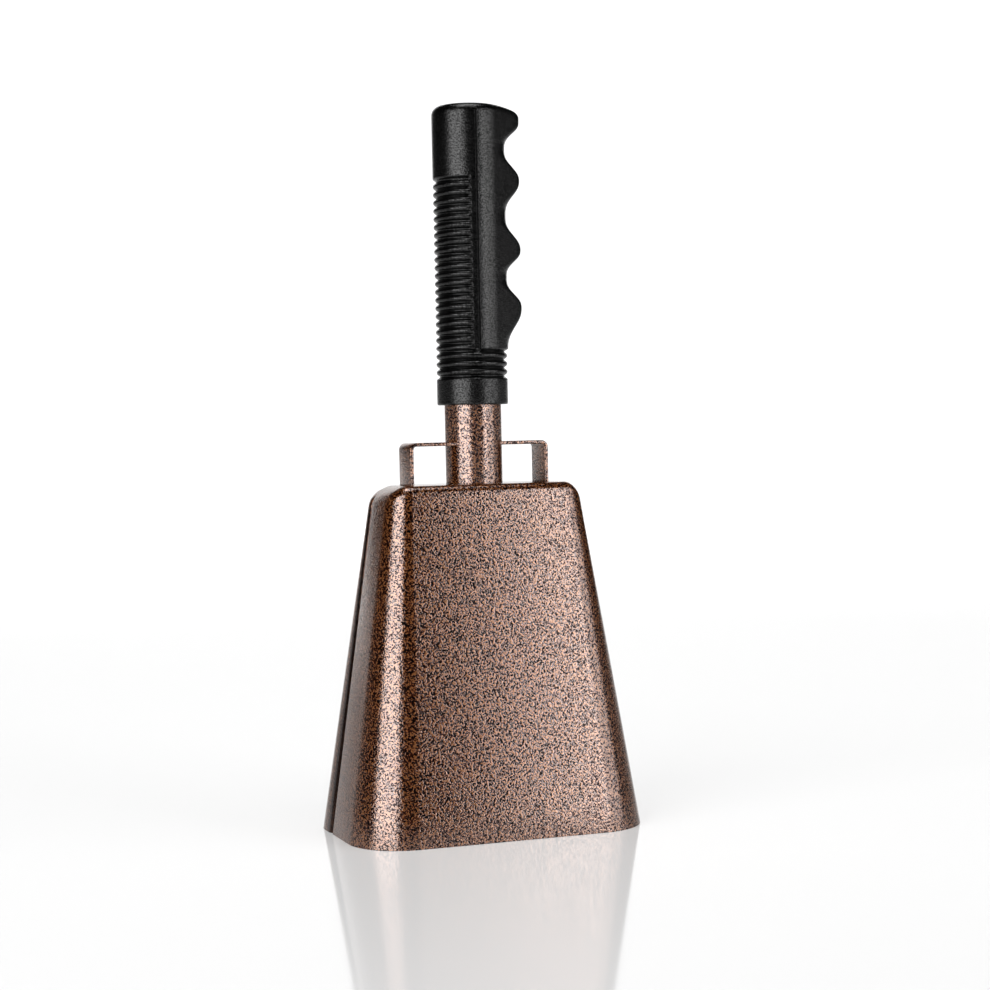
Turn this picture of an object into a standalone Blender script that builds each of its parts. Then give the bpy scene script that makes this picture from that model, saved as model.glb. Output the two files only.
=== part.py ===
"""Hand cowbell: two pressed half shells lapped down their sides, a strip bail, a tube handle with
a moulded finger grip, and a clapper that hangs from a staple by a closed link.

Units are metres and +Z is up. The bell stands on its mouth, with the origin at the middle of the
mouth. The broad faces look along Y, and the fingers close round the +X side of the grip.
"""

import bisect
import math

import bmesh
import bpy
from mathutils import Vector

MM = 0.001

# Fits
GAP = 0.3 * MM                    # between pieces that touch on the real bell
SLOT_CLEARANCE = 0.3 * MM         # all round a strap or a wire in its slot or hole

# Bell body, outside sizes; the top's width and depth are those of the sharp edges before bending
BELL_HEIGHT = 134.0 * MM
MOUTH_WIDTH = 118.0 * MM
MOUTH_DEPTH = 75.6 * MM
MOUTH_CORNER = 22.0 * MM
TOP_WIDTH = 77.8 * MM
TOP_DEPTH = 34.0 * MM
TOP_CORNER = 8.0 * MM
SHEET = 1.2 * MM
END_BEND = 9.0 * MM               # bend from the narrow sides into the top
FACE_BEND = 3.5 * MM              # bend from the broad faces into the top
SIDE_SEAM = 6.0 * MM              # the front shell's flaps end here, behind the middle
SIDE_LAP = 5.0 * MM
JOGGLE_RUN = 1.7 * MM             # the rear shell steps out from under the flaps over this length
SEAM_BEHIND_TUBE = 0.9 * MM       # the front shell's top reaches this far past the tube
FLANGE_BEHIND_BAIL = 0.8 * MM     # the rear shell's top flange stops this far behind the bail
TOP_FLAP_INSET = 4.0 * MM         # the top flap is narrower than the flat top, at each end
CORNER_STEPS = 14
BEND_STEPS = 7

# Handle tube
TUBE_DIAMETER = 22.2 * MM
TUBE_WALL = 1.2 * MM
BARE_TUBE = 30.2 * MM             # length that shows between the bell and the grip
TUBE_SIDES = 40

# Strip bail
BAIL_THICKNESS = 1.4 * MM
BAIL_WIDTH = 14.5 * MM
BAIL_RISE = 16.2 * MM             # from the bell's top to the bail's upper face
BAIL_FROM_BEND = 2.8 * MM         # from a leg's outer face to the start of the top's end bend
BAIL_BEND = 2.6 * MM              # outside radius of the two upper bends
BAIL_FOOT = 8.0 * MM
BAIL_BEND_STEPS = 5

# Finger grip; heights are above the grip's lower edge
GRIP_LENGTH = 116.6 * MM
GRIP_WALL = 2.45 * MM
GRIP_TOP_WALL = 3.2 * MM
COLLAR_LENGTH = 10.9 * MM
COLLAR_EDGE = 0.5 * MM
RIB_HEIGHT = 1.25 * MM
RIB_PITCH = 3.13 * MM
RIB_ROOT = 0.4 * MM               # flat between two ribs
RIB_SHOULDER = 0.78               # share of a rib's height where its flank rounds over
RING_COUNT = 3
PALM_RIB_COUNT = 21
PALM_RIB_ANGLE = 105.0            # degrees from the finger side, where the palm ribs end
RIB_END_LAND = 2.0                # degrees of plain wall beside the ends of the ribs
GROOVE_ANGLE = 98.5               # degrees from the finger side to a groove's middle
GROOVE_SPAN = 9.0                 # degrees
GROOVE_DEPTH = 1.75 * MM
NOSE_RADIUS = 6.0 * MM            # finger ridge, in plan
NOSE_REACH = 21.2 * MM            # from the tube's axis, at the top swell
SWELL_REACH = 20.6 * MM           # the same at the three swells below
SWELL_START = 20.2 * MM           # where the lowest swell leaves the round wall
SWELL_HEIGHTS = (37.7 * MM, 60.0 * MM, 87.0 * MM, 110.0 * MM)
HOLLOW_HEIGHTS = (49.1 * MM, 72.8 * MM, 98.6 * MM)
FINGER_FLOOR = 0.45 * MM          # the hollows stop this far above the round wall
SWELL_SHARPNESS = 1.5
DOME_RADIUS = 60.0 * MM
DOME_EDGE_PALM = 3.6 * MM
DOME_EDGE_FINGER = 3.0 * MM

# Clapper
WIRE_DIAMETER = 3.0 * MM
STAPLE_WIDTH = 12.0 * MM          # between the legs' middles
STAPLE_BEND = 3.0 * MM
STAPLE_DROP = 7.0 * MM            # from under the top plate to the middle of the bight
PEEN_RADIUS = 2.7 * MM
PEEN_THICKNESS = 1.6 * MM
LINK_RADIUS = 4.0 * MM            # middle of the wire, at both ends of the link
LINK_STRAIGHT = 6.0 * MM
EYE_RADIUS = 4.5 * MM             # middle of the wire
EYE_NECK_BEND = 3.0 * MM
EYE_END_ANGLE = 235.0             # degrees, where the eye's wire is cut off
BALL_DIAMETER = 20.0 * MM
BALL_HEIGHT = 38.0 * MM           # middle of the ball above the mouth, at rest
ROD_HEAD_RADIUS = 3.0 * MM
ROD_HEAD_THICKNESS = 1.6 * MM
ROD_COLLAR_RADIUS = 2.6 * MM
WIRE_ROUNDNESS = 3

CUTTER_REACH = 20.0 * MM          # how far a cutter stands out of what it cuts
MERGE = 0.01 * MM
FLAT_ANGLE = math.radians(0.2)    # faces that meet flatter than this are one face

# Sizes that follow from those above
SIDE_SLOPE = (MOUTH_WIDTH - TOP_WIDTH) / 2 / BELL_HEIGHT
FACE_SLOPE = (MOUTH_DEPTH - TOP_DEPTH) / 2 / BELL_HEIGHT
CORNER_SLOPE = (MOUTH_CORNER - TOP_CORNER) / BELL_HEIGHT
TUBE_RADIUS = TUBE_DIAMETER / 2
PLATE_UNDERSIDE = BELL_HEIGHT - SHEET
LAP_OFFSET = SHEET + GAP
END_BEND_START = TOP_WIDTH / 2 + END_BEND * (SIDE_SLOPE - math.hypot(1, SIDE_SLOPE))
TOP_SEAM = TUBE_RADIUS + SEAM_BEHIND_TUBE
TOP_FLANGE = BAIL_WIDTH / 2 + FLANGE_BEHIND_BAIL
BAIL_HALF_SPAN = END_BEND_START - BAIL_FROM_BEND
GRIP_BASE = BELL_HEIGHT + BARE_TUBE + GAP
GRIP_BORE = TUBE_RADIUS + GAP
GRIP_RADIUS = GRIP_BORE + GRIP_WALL
RIB_FOOT = GRIP_RADIUS - RIB_HEIGHT
RINGS_TOP = COLLAR_LENGTH + RING_COUNT * RIB_PITCH + RIB_ROOT
RIBS_TOP = RINGS_TOP + PALM_RIB_COUNT * RIB_PITCH
RIB_FLANK = (RIB_PITCH - RIB_ROOT) / 2
FINGER_KNOTS = sorted((SWELL_START, *SWELL_HEIGHTS, *HOLLOW_HEIGHTS))
WIRE_RADIUS = WIRE_DIAMETER / 2
WIRE_SEAT = WIRE_DIAMETER + GAP   # between the middles of two wires that hang on each other
STAPLE_PIVOT = PLATE_UNDERSIDE - STAPLE_DROP
LINK_PIVOT_DROP = LINK_STRAIGHT + 2 * LINK_RADIUS - WIRE_SEAT
ROD_PIVOT = STAPLE_PIVOT - LINK_PIVOT_DROP
EYE_MIDDLE = WIRE_SEAT - EYE_RADIUS
BALL_RADIUS = BALL_DIAMETER / 2
BALL_DROP = ROD_PIVOT - BALL_HEIGHT


def material(name, color, metallic, roughness):
    made = bpy.data.materials.new(name)
    made.use_nodes = True
    made.diffuse_color = (*color, 1.0)
    shader = made.node_tree.nodes["Principled BSDF"]
    shader.inputs["Base Color"].default_value = (*color, 1.0)
    shader.inputs["Metallic"].default_value = metallic
    shader.inputs["Roughness"].default_value = roughness
    return made


def add_object(name, mesh, finish, location=(0, 0, 0), parent=None, smooth_angle=35.0):
    mesh.materials.append(finish)
    mesh.shade_smooth()
    mesh.set_sharp_from_angle(angle=math.radians(smooth_angle))
    item = bpy.data.objects.new(name, mesh)
    bpy.context.scene.collection.objects.link(item)
    item.location = location
    item.parent = parent
    return item


def add_pivot(name, location, parent=None):
    pivot = bpy.data.objects.new(name, None)
    bpy.context.scene.collection.objects.link(pivot)
    pivot.location = location
    pivot.parent = parent
    return pivot


def mesh_from(name, shape):
    mesh = bpy.data.meshes.new(name)
    shape.to_mesh(mesh)
    shape.free()
    return mesh


def add_tool(name, shape, location=(0, 0, 0), parent=None):
    """A body that only shapes others: a cutter, or a lump that is joined on."""
    tool = bpy.data.objects.new(name, mesh_from(name, shape))
    bpy.context.scene.collection.objects.link(tool)
    tool.location = location
    tool.parent = parent
    tool.hide_render = True
    tool.display_type = "WIRE"
    return tool


def combine(target, tool, operation):
    modifier = target.modifiers.new(tool.name, "BOOLEAN")
    modifier.operation = operation
    modifier.solver = "EXACT"
    modifier.object = tool


def box(size_x, size_y, size_z):
    shape = bmesh.new()
    bmesh.ops.create_cube(shape, size=1.0)
    bmesh.ops.scale(shape, vec=(size_x, size_y, size_z), verts=shape.verts)
    return shape


def cylinder(radius, length, sides):
    shape = bmesh.new()
    bmesh.ops.create_cone(shape, cap_ends=True, segments=sides, radius1=radius, radius2=radius,
                          depth=length)
    return shape


def loft(shape, rings, closed):
    """Bridge each ring of points to the next; returns the first and the last ring's points."""
    rows = []
    for ring in rings:
        row = [shape.verts.new(point) for point in ring]
        pairs = list(zip(row, row[1:]))
        if closed:
            pairs.append((row[-1], row[0]))
        rows.append((row, [shape.edges.new(pair) for pair in pairs]))
    for (_, lower), (_, upper) in zip(rows, rows[1:]):
        bmesh.ops.bridge_loops(shape, edges=lower + upper)
    return rows[0][0], rows[-1][0]


def arc(center_x, center_z, radius, start, end, steps):
    """Points in the XZ plane along an arc, its angles in degrees from +X."""
    points = []
    for step in range(steps + 1):
        angle = math.radians(start + (end - start) * step / steps)
        points.append(Vector((center_x + radius * math.cos(angle), 0,
                              center_z + radius * math.sin(angle))))
    return points


# The bell's half shells

def wall_ring(height, half):
    """Half outline of the bell's wall, from one side seam round a broad face to the other.

    half is -1 for the front, which runs from +X by -Y to -X, and 1 for the rear, which runs from
    -X by +Y to +X. Each point comes with its outward direction and how deep it lies under the
    full outline; the rear half's ends are joggled in, to lap under the front half's flaps."""
    corner = MOUTH_CORNER - CORNER_SLOPE * height
    middle_x = MOUTH_WIDTH / 2 - SIDE_SLOPE * height - corner
    middle_y = MOUTH_DEPTH / 2 - FACE_SLOPE * height - corner
    leading = Vector((-half, 0, 0))
    trailing = Vector((half, 0, 0))
    middle = Vector((0, half, 0))
    ends = [(SIDE_SEAM, 0)]
    if half == 1:
        tongue = SIDE_SEAM + GAP
        ends = [(SIDE_SEAM - SIDE_LAP, LAP_OFFSET), (tongue, LAP_OFFSET), (tongue + JOGGLE_RUN, 0)]
    ring = []
    for seam, depth in ends:
        reach = middle_x + corner - depth * math.hypot(1, SIDE_SLOPE)
        ring.append((leading * reach + Vector((0, seam, height)), leading, depth))
    for start, end, side in ((leading, middle, leading), (middle, trailing, trailing)):
        for step in range(CORNER_STEPS + 1):
            angle = math.pi / 2 * step / CORNER_STEPS
            outward = start * math.cos(angle) + end * math.sin(angle)
            center = side * middle_x + middle * middle_y + Vector((0, 0, height))
            ring.append((center + outward * corner, outward, 0))
    for seam, depth in reversed(ends):
        reach = middle_x + corner - depth * math.hypot(1, SIDE_SLOPE)
        ring.append((trailing * reach + Vector((0, seam, height)), trailing, depth))
    return ring


def wall_slope(outward):
    """How fast the wall leans in along one direction."""
    across = (SIDE_SLOPE - CORNER_SLOPE) * abs(outward.x) + (FACE_SLOPE - CORNER_SLOPE) * abs(outward.y)
    return CORNER_SLOPE + across


def half_shell(name, finish, half, top, flap):
    """One pressed half: wall, bend and top plate as one skin, thickened inwards."""
    rings = [[point for point, _, _ in wall_ring(-SHEET, half)]]
    top_depth = BELL_HEIGHT - top
    for step in range(BEND_STEPS + 1):
        ring = []
        for index, (_, outward, depth) in enumerate(wall_ring(top, half)):
            across = FACE_BEND + (END_BEND - depth - FACE_BEND) * outward.x ** 2
            rise = FACE_BEND + (END_BEND - top_depth - FACE_BEND) * outward.x ** 2
            lean = rise * wall_slope(outward)
            start = math.atan2(lean, across)
            turn = start + (math.pi / 2 - start) * step / BEND_STEPS
            base = wall_ring(top - rise, half)[index][0]
            center = base - outward * math.hypot(across, lean)
            arm = outward * across * math.cos(turn) + Vector((0, 0, rise * math.sin(turn)))
            ring.append(center + arm)
        rings.append(ring)
    shape = bmesh.new()
    _, rim = loft(shape, rings, closed=False)
    corners = [shape.verts.new((x, y, top)) for x, y in flap]
    plate = shape.faces.new(rim + corners)
    bmesh.ops.recalc_face_normals(shape, faces=shape.faces)
    if plate.normal.z < 0:
        bmesh.ops.reverse_faces(shape, faces=shape.faces)
    shell = add_object(name, mesh_from(name, shape), finish)
    wall = shell.modifiers.new("sheet", "SOLIDIFY")
    wall.thickness = SHEET
    wall.offset = -1
    wall.use_even_offset = True
    return shell


def make_shells(finish):
    flap_x = END_BEND_START - TOP_FLAP_INSET
    notch_x = END_BEND_START - GAP
    front_flap = ((-flap_x, TOP_SEAM), (flap_x, TOP_SEAM))
    rear_flap = ((notch_x, TOP_FLANGE), (-notch_x, TOP_FLANGE))
    front = half_shell("front_shell", finish, -1, BELL_HEIGHT, front_flap)
    rear = half_shell("rear_shell", finish, 1, BELL_HEIGHT - LAP_OFFSET, rear_flap)

    floor = box(2 * MOUTH_WIDTH, 2 * MOUTH_DEPTH, CUTTER_REACH)
    trim = add_tool("mouth_trim", floor, (0, 0, -CUTTER_REACH / 2))
    combine(front, trim, "DIFFERENCE")
    combine(rear, trim, "DIFFERENCE")

    for side in (-1, 1):
        slot = box(BAIL_THICKNESS + 2 * SLOT_CLEARANCE, BAIL_WIDTH + 2 * SLOT_CLEARANCE, CUTTER_REACH)
        slot_x = side * (BAIL_HALF_SPAN - BAIL_THICKNESS / 2)
        combine(front, add_tool(f"bail_slot_{side}", slot, (slot_x, 0, BELL_HEIGHT)), "DIFFERENCE")
        hole = cylinder(WIRE_RADIUS + SLOT_CLEARANCE, CUTTER_REACH, 16)
        hole_x = side * STAPLE_WIDTH / 2
        combine(front, add_tool(f"staple_hole_{side}", hole, (hole_x, 0, BELL_HEIGHT)), "DIFFERENCE")


# The handle

def make_tube(finish):
    length = GRIP_BASE + GRIP_LENGTH - GRIP_TOP_WALL - BELL_HEIGHT - 2 * GAP
    shape = bmesh.new()
    bmesh.ops.create_circle(shape, segments=TUBE_SIDES, radius=TUBE_RADIUS)
    bmesh.ops.create_circle(shape, segments=TUBE_SIDES, radius=TUBE_RADIUS - TUBE_WALL)
    bmesh.ops.bridge_loops(shape, edges=shape.edges)
    raised = bmesh.ops.extrude_face_region(shape, geom=shape.faces[:])["geom"]
    lifted = [item for item in raised if isinstance(item, bmesh.types.BMVert)]
    bmesh.ops.translate(shape, verts=lifted, vec=(0, 0, length))
    bmesh.ops.recalc_face_normals(shape, faces=shape.faces)
    tube = add_object("handle_tube", mesh_from("handle_tube", shape), finish,
                      (0, 0, BELL_HEIGHT + GAP))
    slot = box(4 * TUBE_RADIUS, BAIL_WIDTH + 2 * SLOT_CLEARANCE, BAIL_THICKNESS + 2 * SLOT_CLEARANCE)
    slot_z = BELL_HEIGHT + BAIL_RISE - BAIL_THICKNESS / 2
    combine(tube, add_tool("bail_window", slot, (0, 0, slot_z)), "DIFFERENCE")


def make_bail(finish):
    """The strip's outer face, foot to foot, drawn in XZ, swept across its width and thickened."""
    foot_bend = BAIL_THICKNESS + GAP
    span = BAIL_HALF_SPAN
    half = [Vector((span - foot_bend - BAIL_FOOT, 0, -SHEET - foot_bend))]
    half += arc(span - foot_bend, -SHEET, foot_bend, -90, 0, BAIL_BEND_STEPS)
    half += arc(span - BAIL_BEND, BAIL_RISE - BAIL_BEND, BAIL_BEND, 0, 90, BAIL_BEND_STEPS)
    mirrored = [Vector((-point.x, 0, point.z)) for point in reversed(half)]
    shape = bmesh.new()
    path = [shape.verts.new(point) for point in half + mirrored]
    for pair in zip(path, path[1:]):
        shape.edges.new(pair)
    swept = bmesh.ops.extrude_edge_only(shape, edges=shape.edges[:])["geom"]
    moved = [item for item in swept if isinstance(item, bmesh.types.BMVert)]
    bmesh.ops.translate(shape, verts=moved, vec=(0, BAIL_WIDTH, 0))
    bmesh.ops.translate(shape, verts=shape.verts, vec=(0, -BAIL_WIDTH / 2, 0))
    bmesh.ops.recalc_face_normals(shape, faces=shape.faces)
    crown = max(shape.faces, key=lambda face: face.calc_center_median().z)
    if crown.normal.z < 0:
        bmesh.ops.reverse_faces(shape, faces=shape.faces)
    bail = add_object("bail_strap", mesh_from("bail_strap", shape), finish, (0, 0, BELL_HEIGHT))
    strip = bail.modifiers.new("strip", "SOLIDIFY")
    strip.thickness = BAIL_THICKNESS
    strip.offset = -1
    strip.use_even_offset = True


# The finger grip

def ramp(value, start, length):
    return min(max((value - start) / length, 0.0), 1.0)


def mix(low, high, share):
    return low + (high - low) * share


def ridge_radius(angle):
    """Plan outline of the round wall and the finger ridge: two tangents on to a rounded nose."""
    nose_x = NOSE_REACH - NOSE_RADIUS
    touch = math.acos((GRIP_RADIUS - NOSE_RADIUS) / nose_x)
    nose_touch = math.atan2(NOSE_RADIUS * math.sin(touch), nose_x + NOSE_RADIUS * math.cos(touch))
    angle = abs(angle)
    if angle >= touch:
        return GRIP_RADIUS
    if angle > nose_touch:
        return GRIP_RADIUS / math.cos(touch - angle)
    across = nose_x * math.sin(angle)
    return nose_x * math.cos(angle) + math.sqrt(NOSE_RADIUS ** 2 - across ** 2)


def finger_reach(height):
    """Turned outline of the finger hollows and swells, as a reach from the tube's axis."""
    floor = GRIP_RADIUS + FINGER_FLOOR
    if height <= SWELL_START:
        return floor
    if height >= SWELL_HEIGHTS[-1]:
        return NOSE_REACH
    span = bisect.bisect_right(FINGER_KNOTS, height) - 1
    low, high = FINGER_KNOTS[span], FINGER_KNOTS[span + 1]
    rising = low in HOLLOW_HEIGHTS or low == SWELL_START
    share = (height - low if rising else high - height) / (high - low)
    crest = NOSE_REACH if high == SWELL_HEIGHTS[-1] else SWELL_REACH
    return mix(floor, crest, ((1 - math.cos(math.pi * share)) / 2) ** SWELL_SHARPNESS)


def grip_radius(angle, height):
    """Outer radius of the grip without its ribs; angle in radians from the finger side."""
    turned = abs(math.degrees(angle))
    wall = min(ridge_radius(angle), finger_reach(height))
    if abs(turned - GROOVE_ANGLE) < GROOVE_SPAN / 2:
        wall = GRIP_RADIUS - GROOVE_DEPTH
    elif turned > PALM_RIB_ANGLE + RIB_END_LAND:
        wall = mix(RIB_FOOT, GRIP_RADIUS, ramp(height, RIBS_TOP, RIB_FLANK))
    wall = mix(RIB_FOOT, wall, ramp(height, RINGS_TOP, RIB_FLANK))
    wall = mix(GRIP_RADIUS, wall, ramp(height, COLLAR_LENGTH - RIB_FLANK, RIB_FLANK))
    return wall - COLLAR_EDGE * (1 - ramp(height, 0, COLLAR_EDGE))


def dome_height(radius):
    return GRIP_LENGTH - radius ** 2 / 2 / DOME_RADIUS


def dome_edge(angle):
    middle = (DOME_EDGE_FINGER + DOME_EDGE_PALM) / 2
    return middle + (DOME_EDGE_FINGER - DOME_EDGE_PALM) / 2 * math.cos(angle)


def grip_angles():
    """Columns of the grip, in radians: close together on the finger ridge and at the grooves."""
    step = 0.3
    groove_low = GROOVE_ANGLE - GROOVE_SPAN / 2
    groove_high = GROOVE_ANGLE + GROOVE_SPAN / 2
    land_end = PALM_RIB_ANGLE + RIB_END_LAND
    half = [8.0 * index for index in range(11)]
    half += [groove_low - step, groove_low + step, groove_high - step, groove_high + step]
    half += [land_end - step, land_end + step]
    half += [mix(land_end, 180, share / 5) for share in range(1, 5)]
    around = half + [180.0] + [-angle for angle in reversed(half[1:])]
    return [math.radians(angle) for angle in around]


def grip_heights():
    plain = [0, COLLAR_EDGE, COLLAR_LENGTH - RIB_FLANK, COLLAR_LENGTH]
    plain += [RINGS_TOP, RINGS_TOP + RIB_FLANK, RIBS_TOP, RIBS_TOP + RIB_FLANK]
    for low, high in zip(FINGER_KNOTS, FINGER_KNOTS[1:]):
        plain += [mix(low, high, share / 4) for share in range(1, 5)]
    heights = []
    for height in sorted(plain):
        if not heights or height - heights[-1] > RIB_ROOT:
            heights.append(height)
    return heights


def grip_body():
    angles = grip_angles()
    rings = []
    for height in grip_heights():
        ring = []
        for angle in angles:
            radius = grip_radius(angle, height)
            ring.append((radius * math.cos(angle), radius * math.sin(angle), height))
        rings.append(ring)
    for turn in (0, 25, 50, 70, 90):
        ring = []
        for angle in angles:
            full = ridge_radius(angle)
            edge = dome_edge(angle)
            radius = full - edge * (1 - math.cos(math.radians(turn)))
            height = dome_height(full - edge) - edge * (1 - math.sin(math.radians(turn)))
            if turn == 0:
                radius = min(radius, grip_radius(angle, height))
            ring.append((radius * math.cos(angle), radius * math.sin(angle), height))
        rings.append(ring)
    for share in (0.66, 0.33):
        ring = []
        for angle in angles:
            radius = (ridge_radius(angle) - dome_edge(angle)) * share
            ring.append((radius * math.cos(angle), radius * math.sin(angle), dome_height(radius)))
        rings.append(ring)
    shape = bmesh.new()
    bottom, top = loft(shape, rings, closed=True)
    shape.faces.new(bottom)
    crown = shape.verts.new((0, 0, GRIP_LENGTH))
    for pair in zip(top, top[1:] + top[:1]):
        shape.faces.new((*pair, crown))
    bmesh.ops.dissolve_limit(shape, angle_limit=FLAT_ANGLE, verts=shape.verts, edges=shape.edges)
    bmesh.ops.recalc_face_normals(shape, faces=shape.faces)
    return shape


def rib(shape, middle, half_angle, steps):
    """One rib: its section spun about the tube's axis, all the way round or over the palm."""
    crest = RIB_FLANK / 3
    shoulder = mix(RIB_FOOT, GRIP_RADIUS, RIB_SHOULDER)
    sunk = RIB_ROOT / 3
    inner = RIB_FOOT - sunk * (shoulder - RIB_FOOT) / (RIB_FLANK - crest)
    section = ((inner, -RIB_FLANK - sunk), (shoulder, -crest), (GRIP_RADIUS, 0),
               (shoulder, crest), (inner, RIB_FLANK + sunk))
    start = 180 - half_angle
    row = []
    for radius, up in section:
        spot = (radius * math.cos(math.radians(start)), radius * math.sin(math.radians(start)))
        row.append(shape.verts.new((*spot, middle + up)))
    whole = half_angle == 180
    if whole:
        outline = [shape.edges.new(pair) for pair in zip(row, row[1:] + row[:1])]
        bmesh.ops.spin(shape, geom=row + outline, axis=(0, 0, 1), cent=(0, 0, 0), steps=steps,
                       angle=2 * math.pi, use_merge=True)
        return
    face = shape.faces.new(row)
    bmesh.ops.spin(shape, geom=[face], axis=(0, 0, 1), cent=(0, 0, 0), steps=steps,
                   angle=math.radians(2 * half_angle))


def make_grip(finish):
    grip = add_object("finger_grip", mesh_from("finger_grip", grip_body()), finish,
                      (0, 0, GRIP_BASE), smooth_angle=40.0)
    palm_half_angle = 180 - PALM_RIB_ANGLE - RIB_END_LAND / 2
    ribs = bmesh.new()
    for index in range(RING_COUNT + PALM_RIB_COUNT):
        middle = COLLAR_LENGTH + RIB_ROOT + (index + 0.5) * RIB_PITCH - RIB_ROOT / 2
        if index < RING_COUNT:
            rib(ribs, middle, 180, 36)
        else:
            rib(ribs, middle, palm_half_angle, 10)
    bmesh.ops.remove_doubles(ribs, verts=ribs.verts, dist=MERGE)
    bmesh.ops.recalc_face_normals(ribs, faces=ribs.faces)
    combine(grip, add_tool("ribs", ribs, (0, 0, GRIP_BASE)), "UNION")

    depth = GRIP_LENGTH - GRIP_TOP_WALL + CUTTER_REACH
    bore = cylinder(GRIP_BORE, depth, TUBE_SIDES)
    bore_z = GRIP_BASE - CUTTER_REACH + depth / 2
    combine(grip, add_tool("tube_bore", bore, (0, 0, bore_z)), "DIFFERENCE")


# The clapper

def wire_mesh(name, points, closed=False):
    """Round wire along a path, as a mesh."""
    curve = bpy.data.curves.new(name, "CURVE")
    curve.dimensions = "3D"
    curve.bevel_depth = WIRE_RADIUS
    curve.bevel_resolution = WIRE_ROUNDNESS
    curve.use_fill_caps = not closed
    spline = curve.splines.new("POLY")
    spline.points.add(len(points) - 1)
    for slot, point in zip(spline.points, points):
        slot.co = (*point, 1.0)
    spline.use_cyclic_u = closed
    holder = bpy.data.objects.new(name, curve)
    bpy.context.scene.collection.objects.link(holder)
    evaluated = holder.evaluated_get(bpy.context.evaluated_depsgraph_get())
    mesh = bpy.data.meshes.new_from_object(evaluated)
    bpy.data.objects.remove(holder)
    shape = bmesh.new()
    shape.from_mesh(mesh)
    bmesh.ops.remove_doubles(shape, verts=shape.verts, dist=MERGE)
    bmesh.ops.recalc_face_normals(shape, faces=shape.faces)
    shape.to_mesh(mesh)
    shape.free()
    return mesh


def make_staple(finish):
    """U of wire, hung from the bell's top by two peened heads; its bight lies along X."""
    half_width = STAPLE_WIDTH / 2
    head_top = STAPLE_DROP + SHEET + GAP + PEEN_THICKNESS
    leg_end = head_top - PEEN_THICKNESS / 2
    points = [Vector((half_width, 0, leg_end))]
    points += arc(half_width - STAPLE_BEND, STAPLE_BEND, STAPLE_BEND, 0, -90, 5)
    points += [Vector((-point.x, 0, point.z)) for point in reversed(points)]
    staple = add_object("clapper_staple", wire_mesh("clapper_staple", points), finish,
                        (0, 0, STAPLE_PIVOT))
    for side in (-1, 1):
        head = cylinder(PEEN_RADIUS, PEEN_THICKNESS, 20)
        head_z = STAPLE_PIVOT + head_top - PEEN_THICKNESS / 2
        tool = add_tool(f"peened_head_{side}", head, (side * half_width, 0, head_z))
        combine(staple, tool, "UNION")


def make_link(finish, pivot):
    """Closed oval link in the YZ plane. Its pivot is the middle of the staple's bight."""
    top = WIRE_SEAT - LINK_RADIUS
    oval = arc(0, top, LINK_RADIUS, 0, 180, 8)
    oval += arc(0, top - LINK_STRAIGHT, LINK_RADIUS, 180, 360, 8)
    points = [Vector((0, point.x, point.z)) for point in oval]
    add_object("clapper_link", wire_mesh("clapper_link", points, closed=True), finish,
               parent=pivot)


def make_rod(finish, pivot):
    """Wire rod with a bent eye. Its pivot is the middle of the link's lower bow."""
    turn = math.acos(EYE_NECK_BEND / (EYE_NECK_BEND + EYE_RADIUS))
    neck_z = EYE_MIDDLE - (EYE_NECK_BEND + EYE_RADIUS) * math.sin(turn)
    bottom = -BALL_DROP - BALL_RADIUS - ROD_HEAD_THICKNESS / 2
    points = [Vector((0, 0, bottom))]
    points += arc(EYE_NECK_BEND, neck_z, EYE_NECK_BEND, 180, 180 - math.degrees(turn), 4)
    points += arc(0, EYE_MIDDLE, EYE_RADIUS, -math.degrees(turn), EYE_END_ANGLE, 16)[1:]
    rod = add_object("clapper_rod", wire_mesh("clapper_rod", points), finish, parent=pivot)

    seat = BALL_RADIUS + GAP + ROD_HEAD_THICKNESS / 2
    head = cylinder(ROD_HEAD_RADIUS, ROD_HEAD_THICKNESS, 20)
    tool = add_tool("rod_head", head, (0, 0, -BALL_DROP - seat), pivot)
    combine(rod, tool, "UNION")
    collar = cylinder(ROD_COLLAR_RADIUS, ROD_HEAD_THICKNESS, 20)
    tool = add_tool("rod_collar", collar, (0, 0, -BALL_DROP + seat), pivot)
    combine(rod, tool, "UNION")


def make_ball(finish, pivot):
    shape = bmesh.new()
    bmesh.ops.create_uvsphere(shape, u_segments=24, v_segments=14, radius=BALL_RADIUS)
    ball = add_object("clapper_ball", mesh_from("clapper_ball", shape), finish,
                      (0, 0, -BALL_DROP), pivot)
    bore = cylinder(WIRE_RADIUS + SLOT_CLEARANCE, 2 * BALL_DIAMETER, 16)
    combine(ball, add_tool("ball_bore", bore, (0, 0, -BALL_DROP), pivot), "DIFFERENCE")


def make_cowbell():
    for item in list(bpy.data.objects):
        bpy.data.objects.remove(item)
    hammertone = material("hammertone_copper", (0.27, 0.14, 0.10), 0.6, 0.42)
    black_vinyl = material("black_vinyl", (0.02, 0.02, 0.022), 0.0, 0.5)
    bare_steel = material("bare_steel", (0.45, 0.44, 0.42), 1.0, 0.4)

    make_shells(hammertone)
    make_tube(hammertone)
    make_bail(hammertone)
    make_grip(black_vinyl)
    make_staple(bare_steel)
    link_pivot = add_pivot("link_pivot", (0, 0, STAPLE_PIVOT))
    rod_pivot = add_pivot("rod_pivot", (0, 0, -LINK_PIVOT_DROP), link_pivot)
    make_link(bare_steel, link_pivot)
    make_rod(bare_steel, rod_pivot)
    make_ball(bare_steel, rod_pivot)


make_cowbell()
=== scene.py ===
"""Looks for the hand cowbell: hammered copper-brown enamel, a black moulded grip and steel wire
fittings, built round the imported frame. Metres, +Z up, the fingers' side of the grip is +X."""

import math

import bmesh
import bpy
from mathutils import Matrix, Vector


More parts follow.
